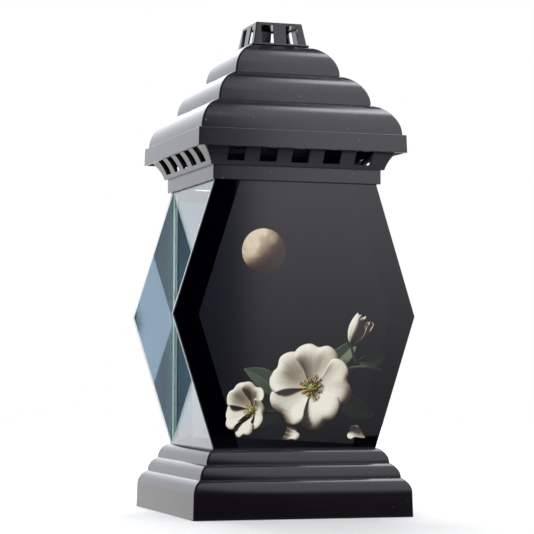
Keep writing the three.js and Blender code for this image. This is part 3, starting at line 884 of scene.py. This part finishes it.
def hexagon(low, high, widest):
    # outline of a pane that is widest at its middle
    slope = glass["wing"] / (glass["middle"] - plinthTop)
    levels = (low, glass["middle"], high)
    right = [(widest - abs(z - glass["middle"]) * slope, z) for z in levels]
    return right + [(-x, z) for x, z in reversed(right)]


def groundPlate(points, depth, faces):
    # plate with ground edges; faces are the finish numbers of near face, far face and edge
    bm = plate(points, depth)
    axis = Vector(depth).normalized()
    rims = [edge for edge in bm.edges
            if abs((edge.verts[0].co - edge.verts[1].co).normalized().dot(axis)) < alike]
    bmesh.ops.bevel(bm, geom=rims, offset=glass["arris"], affect="EDGES",
                    segments=glass["arrisSteps"], profile=0.5, material=-1)
    bmesh.ops.recalc_face_normals(bm, faces=bm.faces)
    for face in bm.faces:
        along = face.normal.dot(axis)
        side = 1 if along > 0 else 0
        face.material_index = faces[side if abs(along) > alike else 2]
    return bm


def wingedPane(node, name, finishes):
    low, high = boxOf(node)
    points = [(x, low.y, z) for x, z in hexagon(low.z, high.z, high.x)]
    bm = groundPlate(points, (0, high.y - low.y, 0), (0, 1, 2))
    put(bm, name, body, finishes, [node], sharp=20)


def sidePane(node, name):
    low, high = boxOf(node)
    points = [(low.x, low.y, low.z), (low.x, high.y, low.z),
              (low.x, high.y, high.z), (low.x, low.y, high.z)]
    bm = groundPlate(points, (high.x - low.x, 0, 0), (0, 0, 1))
    put(bm, name, body, [clearGlass, bondEdge], [node], sharp=20)


def filmPiece():
    low, high = boxOf("picture_film")
    widest = boxOf("front_pane")[1].x - glass["border"]
    points = [(x, low.y, z) for x, z in hexagon(low.z, high.z, widest)]
    bm = plate(points, (0, high.y - low.y, 0))
    put(bm, "picture_print", body, [printedFilm], ["picture_film"], sharp=20)


wingedPane("front_pane", "front_glass", [blackGlass, rearPaint, groundEdge])
wingedPane("back_pane", "back_glass", [mirrorFace, mirrorBack, groundEdge])
sidePane("left_pane", "left_glass")
sidePane("right_pane", "right_glass")
filmPiece()
print("glass made")


# Picture: a still life modelled in the round, lit once into a tone for each of its points,
# and then pressed flat against the film as a print. The eye looks along +Y.

picture = {
    "light": (-0.66, -0.36, 0.66), "softness": 0.22, "rays": 9, "gain": 1.12,
    "sky": 0.10, "skyLow": 0.6, "press": 0.015, "lift": 0.04, "skin": 0.35, "golden": 2.4,
}

openBlossom = {
    "at": (12, -9, 93), "tilt": (-14, 12, -16), "petals": 5, "reach": 33, "spread": 0.74,
    "open": 1.0, "cup": 0.46, "roll": 0.30, "ruffle": 0.065, "dish": 0.05, "round": 0.20,
    "notch": 0.10, "lean": 8, "phase": 0.4, "stamens": 34, "shut": 0.0,
}
turnedBlossom = {
    "at": (-33, -14, 77), "tilt": (-34, -34, -30), "petals": 5, "reach": 24, "spread": 0.72,
    "open": 0.86, "cup": 0.70, "roll": 0.34, "ruffle": 0.06, "dish": 0.05, "round": 0.18,
    "notch": 0.10, "lean": 10, "phase": 1.9, "stamens": 24, "shut": 0.0,
}
bud = {
    "at": (42, -12, 126), "tilt": (-74, 20, 12), "petals": 5, "reach": 21, "spread": 1.05,
    "open": 0.52, "cup": 1.08, "roll": 0.0, "ruffle": 0.02, "dish": 0.0, "round": 0.22,
    "notch": 0.0, "lean": 16, "phase": 0.9, "shut": 0.80,
}
fallen = [  # single petals
    {"at": (-12, -20, 56), "tilt": (-12, 76, -48), "reach": 15, "phase": 0.5},
    {"at": (54, -20, 57), "tilt": (-10, -78, 50), "reach": 15, "phase": 0.5},
]
leaves = [  # place, turns, length and width
    {"at": (30, -3, 88), "tilt": (12, 112, 10), "long": 34, "wide": 17},
    {"at": (26, -2, 108), "tilt": (-8, 38, -12), "long": 30, "wide": 14},
    {"at": (-12, -4, 88), "tilt": (10, -58, 14), "long": 33, "wide": 16},
    {"at": (-14, -5, 74), "tilt": (24, -112, -16), "long": 36, "wide": 15},
    {"at": (10, -5, 72), "tilt": (-20, 162, 10), "long": 24, "wide": 13},
    {"at": (48, -3, 112), "tilt": (10, 74, 20), "long": 22, "wide": 11},
]
twigs = [  # control points and end thicknesses
    {"points": [(66, -1, 106), (50, -3, 112), (36, -4, 108), (20, -5, 97)], "thick": (1.5, 1.1)},
    {"points": [(47, -3, 110.5), (44, -5, 118), (41, -8, 124), (42, -12, 133)],
     "thick": (1.1, 0.8)},
    {"points": [(14, -5, 90), (0, -6, 78), (-16, -8, 74), (-30, -13, 77)], "thick": (1.1, 0.9)},
]
moon = {"at": (-25, -4, 192), "radius": 16.5, "flat": 0.1, "steps": (64, 32)}


def leafGrid(steps):
    bm = bmesh.new()
    bm.loops.layers.uv.new("print")
    across, along = steps
    bmesh.ops.create_grid(bm, x_segments=across, y_segments=along, size=1, calc_uvs=True)
    return bm


def skinned(bm):
    # gives a sheet its thickness, so that it is closed
    bm.normal_update()
    bmesh.ops.solidify(bm, geom=bm.faces[:], thickness=picture["skin"])
    bmesh.ops.recalc_face_normals(bm, faces=bm.faces)
    return bm


def turned(bm, tilt, at):
    # leans a part back (X), swings it in the picture (Y) and turns it on its stem (Z)
    lean, swing, twist = (math.radians(angle) for angle in tilt)
    matrix = (Matrix.Translation(at) @ Matrix.Rotation(swing, 4, "Y")
              @ Matrix.Rotation(lean, 4, "X") @ Matrix.Rotation(twist, 4, "Z"))
    bmesh.ops.transform(bm, matrix=matrix, verts=bm.verts)
    return bm


petalForm = {
    "steps": (26, 24), "waist": 0.66, "waistPower": 0.6, "claw": 0.05, "notchWide": 0.2,
    "shutPower": 2.5, "cupPower": 1.5, "rollPower": 5, "waves": 3.3, "waveChange": 1.7,
}


def petal(shape, reach, phase):
    # one petal standing on the origin with its face towards the eye
    form = petalForm
    bm = leafGrid(form["steps"])
    for vert in bm.verts:
        side, along = vert.co.x, (vert.co.y + 1) / 2
        waist = form["waist"] + (1 - form["waist"]) * along ** form["waistPower"]
        fan = side * shape["spread"] * waist
        notch = shape["notch"] * math.exp(-(side / form["notchWide"]) ** 2)
        edge = (shape["round"] * side ** 4 + notch) * along ** 2
        out = form["claw"] + (1 - form["claw"]) * along * (1 - edge)
        out *= reach * shape["open"] * (1 - shape["shut"] * along ** form["shutPower"])
        wave = shape["ruffle"] * math.sin(form["waves"] * side + phase) * along ** 3
        cup = shape["cup"] * along ** form["cupPower"]
        roll = shape["roll"] * along ** form["rollPower"]
        depth = cup - roll + wave + shape["dish"] * side ** 2 * along
        vert.co = (out * math.sin(fan), -reach * depth, out * math.cos(fan))
    return skinned(bm)


def blossom(shape):
    parts = []
    for number in range(shape["petals"]):
        phase = shape["phase"] + petalForm["waveChange"] * number
        part = petal(shape, shape["reach"], phase)
        turned(part, (0, 0, shape["lean"]), (0, 0, 0))
        parts.append(turned(part, (0, 360 * number / shape["petals"], 0), (0, 0, 0)))
    return placed(together(parts), shape)


def placed(bm, shape):
    lean, swing, twist = shape["tilt"]
    turned(bm, (lean, 0, twist), (0, 0, 0))
    return turned(bm, (0, swing, 0), shape["at"])


def rod(bm, start, end, thick, thin, sides=6):
    # a tapered rod between two points
    start, end = Vector(start), Vector(end)
    made = bmesh.ops.create_cone(bm, cap_ends=True, segments=sides, radius1=thick, radius2=thin,
                                 depth=(end - start).length)["verts"]
    aim = (end - start).to_track_quat("Z", "Y").to_matrix().to_4x4()
    bmesh.ops.transform(bm, matrix=Matrix.Translation((start + end) / 2) @ aim, verts=made)


heartForm = {  # for a blossom of this reach
    "reach": 31, "knob": 3.0, "knobDeep": 0.9, "knobOut": 1.2, "lean": (0.35, 1.30),
    "thread": 8.2, "uneven": 1.6, "thick": (0.30, 0.20), "pollen": 0.85, "grain": (1, 0.7, 0.6),
}


def heart(shape):
    # stamens fanned round the middle of a blossom, and the pollen on their tips
    form = heartForm
    threads, pollen = bmesh.new(), bmesh.new()
    unit = shape["reach"] / form["reach"]
    knob = form["knob"] * unit
    made = bmesh.ops.create_icosphere(threads, subdivisions=3, radius=knob)["verts"]
    scaled(threads, (1, form["knobDeep"], 1), made)
    shifted(threads, (0, -form["knobOut"] * unit, 0), made)
    low, high = form["lean"]
    thick, thin = (size * unit for size in form["thick"])
    for number in range(shape["stamens"]):
        turn = number * picture["golden"]
        lean = low + (high - low) * (number + 0.5) / shape["stamens"]
        aside = math.sin(lean)
        out = Vector((aside * math.cos(turn), -math.cos(lean), aside * math.sin(turn)))
        tip = out * (form["thread"] - form["uneven"] * math.cos(3 * turn)) * unit
        rod(threads, out * unit, tip, thick, thin)
        size = form["pollen"] * unit
        made = bmesh.ops.create_icosphere(pollen, subdivisions=2, radius=size)["verts"]
        scaled(pollen, form["grain"], made)
        bmesh.ops.rotate(pollen, verts=made, matrix=Matrix.Rotation(turn, 3, "Y"))
        shifted(pollen, tip, made)
    return placed(threads, shape), placed(pollen, shape)


leafForm = {
    "steps": (14, 30), "tooth": 0.06, "teeth": 75, "tip": 0.02, "belly": 0.78, "full": 0.85,
    "fold": 0.34, "bend": 0.15, "sway": 0.10, "swayTurn": 2.2,
}


def leaf(spot):
    form = leafForm
    bm = leafGrid(form["steps"])
    for vert in bm.verts:
        side, along = vert.co.x, (vert.co.y + 1) / 2
        tooth = 1 + form["tooth"] * abs(side) * math.sin(along * form["teeth"])
        swell = math.sin(math.pi * along ** form["belly"]) ** form["full"]
        half = spot["wide"] / 2 * (form["tip"] + (1 - form["tip"]) * swell) * tooth
        fold = form["fold"] * abs(side) * half
        bend = form["bend"] * spot["long"] * along ** 2
        sway = form["sway"] * spot["long"] * math.sin(form["swayTurn"] * along)
        vert.co = (side * half + sway, bend - fold, spot["long"] * along)
    return placed(skinned(bm), spot)


def stem(shape, sides=8, steps=9):
    # a ring carried along a curve
    path = interpolate_bezier(*(Vector(point) for point in shape["points"]), steps)
    thick, thin = shape["thick"]
    frames = []
    for place, point in enumerate(path):
        along = path[min(place + 1, steps - 1)] - path[max(place - 1, 0)]
        radius = thick + (thin - thick) * place / (steps - 1)
        aim = along.to_track_quat("Z", "Y").to_matrix().to_4x4()
        frames.append(Matrix.Translation(point) @ aim @ Matrix.Scale(radius, 4))
    bm = bmesh.new()
    made = bmesh.ops.create_circle(bm, segments=sides, radius=1, cap_ends=False)["verts"]
    bmesh.ops.transform(bm, matrix=frames[0], verts=made)
    rim = start = bm.edges[:]
    for here, there in zip(frames, frames[1:]):
        fresh, rim = carried(bm, rim)
        bmesh.ops.transform(bm, matrix=there @ here.inverted(), verts=list(fresh))
    bmesh.ops.edgeloop_fill(bm, edges=start)
    bmesh.ops.edgeloop_fill(bm, edges=rim)
    bmesh.ops.recalc_face_normals(bm, faces=bm.faces)
    return bm


def toned(bm, tree):
    # the light that each point gets, with the shadows of what stands before it
    bm.normal_update()
    tone = bm.verts.layers.float.new("tone")
    light = Vector(picture["light"]).normalized()
    count, low = picture["rays"], picture["skyLow"]
    beams = []
    for number in range(count):
        swing = picture["softness"] * math.sqrt((number + 0.5) / count)
        turn = number * picture["golden"]
        aside = Vector((math.cos(turn), 0, math.sin(turn)))
        beams.append((light + swing * aside).normalized())
    for vert in bm.verts:
        start = vert.co + vert.normal * picture["skin"]
        total = 0
        for beam in beams:
            facing = vert.normal.dot(beam)
            if facing > 0 and (tree is None or tree.ray_cast(start, beam)[0] is None):
                total += facing
        sky = picture["sky"] * (low + (1 - low) * vert.normal.z)
        vert[tone] = sky + picture["gain"] * total / count


def pressed(bm, name, ink):
    # flattens a part of the still life on to the film
    front = boxOf("picture_film")[0].y - picture["lift"]
    scaled(bm, (1, picture["press"], 1))
    shifted(bm, (0, front, 0))
    put(bm, name, body, [ink], mend=False)


def picturePieces():
    petals = [blossom(shape) for shape in (openBlossom, turnedBlossom, bud)]
    for spot in fallen:
        petals.append(placed(petal(openBlossom, spot["reach"], spot["phase"]), spot))
    threads, pollen = zip(*(heart(shape) for shape in (openBlossom, turnedBlossom)))
    parts = {
        "picture_petals": (together(petals), petalInk),
        "picture_leaves": (together([leaf(spot) for spot in leaves]), leafInk),
        "picture_twigs": (together([stem(shape) for shape in twigs]), leafInk),
        "picture_threads": (together(threads), heartInk),
        "picture_pollen": (together(pollen), pollenInk),
    }
    everything = bmesh.new()
    scrap = bpy.data.meshes.new("scrap")
    for part, _ in parts.values():
        part.to_mesh(scrap)
        everything.from_mesh(scrap)
    bpy.data.meshes.remove(scrap)
    tree = BVHTree.FromBMesh(everything)
    everything.free()
    for name, (part, ink) in parts.items():
        toned(part, tree)
        pressed(part, name, ink)
    disc = bmesh.new()
    around, down = moon["steps"]
    bmesh.ops.create_uvsphere(disc, u_segments=around, v_segments=down, radius=moon["radius"])
    toned(disc, None)
    scaled(disc, (1, moon["flat"], 1))
    shifted(disc, moon["at"])
    pressed(disc, "picture_moon", moonInk)
    print("picture made")


picturePieces()


# Refill candle: each CAD outline is turned again with fine steps and soft rims. A pair is a
# distance in or out from the named radius, and one up or down from the named level.

candle = {
    "lip": 1.0, "wall": 1.3, "draft": 2.0, "neck": 0.06,
    "toe": [(1.2, 0), (0.3, 0.4), (0, 1.4)],  # in from the foot, up from the bottom
    "rim": [(0.2, 2.5), (0, 2.2), (0, 0.3), (0.3, 0)],  # in from the lip, down from the top
    "mouth": [(0.3, 0), (0, 0.3)],  # out from the bore, down from the top
    "floor": [(0.05, 3), (-1, 2)],  # out from the bore at the foot, up
    "waxDraft": 2.2, "waxDish": 2.5,
    "waxRim": [(0, 0.6), (0.7, 0), (2.4, 0.9), (7, 2.1)],  # in from the wall, down
    "waxWell": [(4, 2.3), (1.9, 1.7), (1.5, 3), (1.5, 4), (0, 4)],  # radius, down
    "wickFoot": (1.15, 3.8), "wickTop": [(1.2, 1.2), (0.9, 0.3), (0, 0)], "wickSteps": 20,
}


def cupPiece():
    low, high = boxOf("refill_cup")
    mouth = high.x - candle["lip"]
    foot = mouth - candle["draft"]
    bore, boreFoot = mouth - candle["wall"], foot - candle["wall"]
    profile = [(0, low.z)]
    profile += [(foot - inset, low.z + up) for inset, up in candle["toe"]]
    profile += [(mouth - candle["neck"], high.z - candle["rim"][0][1])]
    profile += [(high.x - inset, high.z - down) for inset, down in candle["rim"]]
    profile += [(bore + out, high.z - down) for out, down in candle["mouth"]]
    profile += [(boreFoot + out, low.z + up) for out, up in candle["floor"]]
    profile += [(0, profile[-1][1])]
    put(spun(profile), "refill_cup_shell", refill, [cupPlastic], ["refill_cup"])


def waxPiece():
    low, high = boxOf("refill_wax")
    profile = [(0, low.z), (high.x - candle["waxDraft"], low.z)]
    profile += [(high.x - inset, high.z - down) for inset, down in candle["waxRim"]]
    profile += [(high.x / 2, high.z - candle["waxDish"])]
    profile += [(radius, high.z - down) for radius, down in candle["waxWell"]]
    put(spun(profile), "refill_wax_fill", refill, [castWax], ["refill_wax"])


def wickPiece():
    waxTop, wickEnd = boxOf("refill_wax")[1].z, boxOf("wick")[1].z
    radius, down = candle["wickFoot"]
    profile = [(0, waxTop - down), (radius, waxTop - down)]
    profile += [(radius, wickEnd - down) for radius, down in candle["wickTop"]]
    wick = spun(profile, candle["wickSteps"])
    put(wick, "refill_wick", refill, [cottonWick], ["wick"])


cupPiece()
waxPiece()
wickPiece()
print("refill made")


# CAD nodes that keep their own shape get their finish here

def keepNodes():
    kept = {
        sealant: ["base_seal", "collar_seal", "corner_bead_front_left", "corner_bead_front_right",
                  "corner_bead_back_right", "corner_bead_back_left"],
        zincSteel: ["heat_shield", "shield_screw_1", "shield_screw_2", "shield_screw_3",
                    "shield_screw_4", "wick_disc"],
        goldTin: ["refill_lid"],
    }
    for material, nodes in kept.items():
        for node in nodes:
            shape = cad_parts[node].data
            shape.materials.clear()
            shape.materials.append(material)
            for face in shape.polygons:
                face.material_index = 0
    print("kept nodes finished")


keepNodes()


# Floor and light, in metres, and the camera. The floor and the back of the room are white to
# the camera. The gloss of plastic and glass picks up a bright back, a dark front, a tall card
# at the right that turns into a ceiling, a bright strip behind its edge and a low shelf.

def sheet(name, low, high, material):
    # a flat stage piece between two opposite corners that share one coordinate
    bm = bmesh.new()
    low, high = Vector(low), Vector(high)
    flat = [high[axis] == low[axis] for axis in range(3)].index(True)
    step = Vector((0, 0, 0))
    step[(flat + 1) % 3] = (high - low)[(flat + 1) % 3]
    bm.faces.new([bm.verts.new(point) for point in (low, low + step, high, high - step)])
    mesh = meshed(bm, name)
    mesh.materials.append(material)
    made = linked(name, mesh)
    return made


floor = {
    "size": (2.6, 3.4), "middle": 0.4, "tone": 0.60, "grain": 0.02, "glow": 0.24,
    "farFrom": (0.45, 1.1), "farGlow": 0.9, "shine": 1.28, "shineFrom": (-0.12, -0.05),
}


@finish
def floorTone(bench):
    seen, through, gloss = rays(bench, "Camera", "Transmission", "Glossy")
    low, high = floor["tone"], floor["tone"] + floor["grain"]
    pale = bench.blend(bench.noise(3.0, 2.0, 0.5), (low, low, low), (high, high, high))
    surface = bench.shader(pale, 0.9)
    x, y, _ = bench.axes()
    away = ((x * x + y * y) ** 0.5).smooth(*floor["farFrom"])
    clear = bench.add("ShaderNodeEmission", None, {
        "Strength": seen.atLeast(through) * (floor["glow"] + away * floor["farGlow"]),
    })
    lit = bench.add("ShaderNodeAddShader", None, (surface, clear))
    behind = y.smooth(*floor["shineFrom"])
    mirrored = bench.add("ShaderNodeEmission", None, {"Strength": behind * floor["shine"]})
    bench.close(bench.add("ShaderNodeMixShader", None, (gloss, lit, mirrored)))


def floorPiece():
    width, depth = floor["size"]
    near = floor["middle"] - depth / 2
    sheet("floor", (-width / 2, near, 0), (width / 2, near + depth, 0), floorTone)


cards = {
    "tint": (1.0, 0.98, 1.06),
    "wallY": -0.76, "wallX": (0.05, 1.5), "wallZ": (0.0345, 1.3), "wallRamp": (0.160, 0.198),
    "wallLean": 0.08, "leanFrom": (0.5, 1.2), "wallTones": (0.50, 1.90), "toneRise": (0.02, 0.41),
    "ceilingY": -0.125, "ceilingRamp": (0.215, 0.290),
    "stripY": (0.18, 0.45), "stripRamp": (0.27, 0.38), "stripTone": 7.5,
    "lateRamp": (0.40, 0.52), "lateBlur": 0.01,
    "shelfZ": 0.03, "shelfY": (-0.55, -0.15), "shelfRamp": (-0.04, 0.15), "shelfTone": 0.6,
}


def glow(bench, strength):
    inputs = {"Color": wide(cards["tint"]), "Strength": strength}
    bench.close(bench.add("ShaderNodeEmission", None, inputs))


@finish
def wallCard(bench):
    x, _, z = bench.axes()
    low, high = cards["wallTones"]
    tone = low + (high - low) * z.smooth(*cards["toneRise"])
    lean = cards["wallLean"] * z.smooth(*cards["leanFrom"])
    glow(bench, tone * (x - lean).smooth(*cards["wallRamp"]))


@finish
def ceilingCard(bench):
    x = bench.axes()[0]
    glow(bench, cards["wallTones"][1] * x.smooth(*cards["ceilingRamp"]))


@finish
def stripCard(bench):
    x, y, _ = bench.axes()
    near, blur = cards["stripY"][0], cards["lateBlur"]
    late = y.smooth(near - blur, near + blur) * (1 - x.smooth(*cards["lateRamp"]))
    glow(bench, cards["stripTone"] * x.smooth(*cards["stripRamp"]) * (1 - late))


@finish
def shelfCard(bench):
    x = bench.axes()[0]
    glow(bench, cards["shelfTone"] * x.smooth(*cards["shelfRamp"]))


def cardPieces():
    # cards that show in gloss alone and cast nothing
    left, right = cards["wallX"]
    foot, top = cards["wallZ"]
    wall, edge, far = cards["wallY"], cards["ceilingY"], cards["stripY"][1]
    near, back = cards["shelfY"]
    start, level = cards["shelfRamp"][0], cards["shelfZ"]
    made = [
        sheet("wall_card", (left, wall, foot), (right, wall, top), wallCard),
        sheet("ceiling_card", (left, wall, top), (right, edge, top), ceilingCard),
        sheet("strip_card", (left, edge, top), (right, far, top), stripCard),
        sheet("shelf_card", (start, near, level), (right, back, level), shelfCard),
    ]
    for card in made:
        card.visible_camera = False
        card.visible_diffuse = False
        card.visible_transmission = False
        card.visible_shadow = False


room = {
    "plain": (0.52, 0.53, 0.56), "front": (0.03, 0.03, 0.035),
    "back": (1.38, 1.42, 1.52), "backFrom": (0.25, 0.6), "backEnd": (0.45, 0.7),
    "high": (3.0, 3.05, 3.25), "highSide": (-0.2, 0.24), "highFrom": (0.10, 0.24),
}


def worldLight():
    # camera rays see white, gloss sees the room, and everything else a plain level
    world = bpy.data.worlds.new("studio")
    bpy.context.scene.world = world
    bench = Bench(world)
    x, y, z = bench.axes(bench.add("ShaderNodeTexCoord", output="Generated"))
    behind = y.smooth(*room["backFrom"]) * (1 - z.smooth(*room["backEnd"]))
    high = x.smooth(*room["highSide"]) * z.smooth(*room["highFrom"])
    back = bench.blend(high, room["back"], room["high"])
    seen, through, gloss = rays(bench, "Camera", "Transmission", "Glossy")
    light = bench.blend(gloss, room["plain"], bench.blend(behind, room["front"], back))
    shown = bench.blend(seen.atLeast(through), light, (1, 1, 1))
    surface = bench.add("ShaderNodeBackground", None, {"Color": shown, "Strength": 1.0})
    bench.close(surface, "ShaderNodeOutputWorld")


lamps = {  # tone is the brightness of a lamp's face
    "fill": {"at": (-0.9, -1.5, 1.1), "to": (0, 0, 0.18), "size": (1.0, 1.0), "tone": 7.0},
    "rim": {"at": (0.05, 0.75, 1.45), "to": (0, 0, 0.1), "size": (1.0, 0.7), "tone": 11.5},
}


def lamp(name, at, to, size, tone):
    data = bpy.data.lights.new(name, "AREA")
    width, height = size
    data.shape = "RECTANGLE"
    data.size, data.size_y = width, height
    data.energy = tone * math.pi * width * height
    shade = linked(name, data)
    shade.location = at
    aim = Vector(to) - Vector(at)
    shade.rotation_euler = aim.to_track_quat("-Z", "Y").to_euler()
    shade.visible_camera = False
    shade.visible_glossy = False


view = {
    "at": (-458.95, -1428.62, 105.20), "target": (0, 0, 150),  # both in millimetres
    "focal": 1989.3, "frame": 534, "centre": (270.8, 312.0),  # all in pixels
    "roll": 0.243, "sensor": 36, "clip": (0.05, 20),  # degrees, millimetres, metres
}


def cameraView():
    data = bpy.data.cameras.new("camera")
    camera = linked("camera", data)
    at = Vector(view["at"]) * mm
    aim = Vector(view["target"]) * mm - at
    facing = aim.to_track_quat("-Z", "Y").to_matrix().to_4x4()
    roll = Matrix.Rotation(math.radians(view["roll"]), 4, "Z")
    camera.matrix_world = Matrix.Translation(at) @ facing @ roll
    frameSize = view["frame"]
    data.sensor_width = view["sensor"]
    data.lens = view["focal"] / frameSize * data.sensor_width
    data.shift_x = (frameSize / 2 - view["centre"][0]) / frameSize
    data.shift_y = (view["centre"][1] - frameSize / 2) / frameSize
    data.clip_start, data.clip_end = view["clip"]
    bpy.context.scene.camera = camera


floorPiece()
worldLight()
cardPieces()
for name, settings in lamps.items():
    lamp(name, **settings)
cameraView()
bpy.context.scene.view_settings.view_transform = "Standard"
print("studio made")
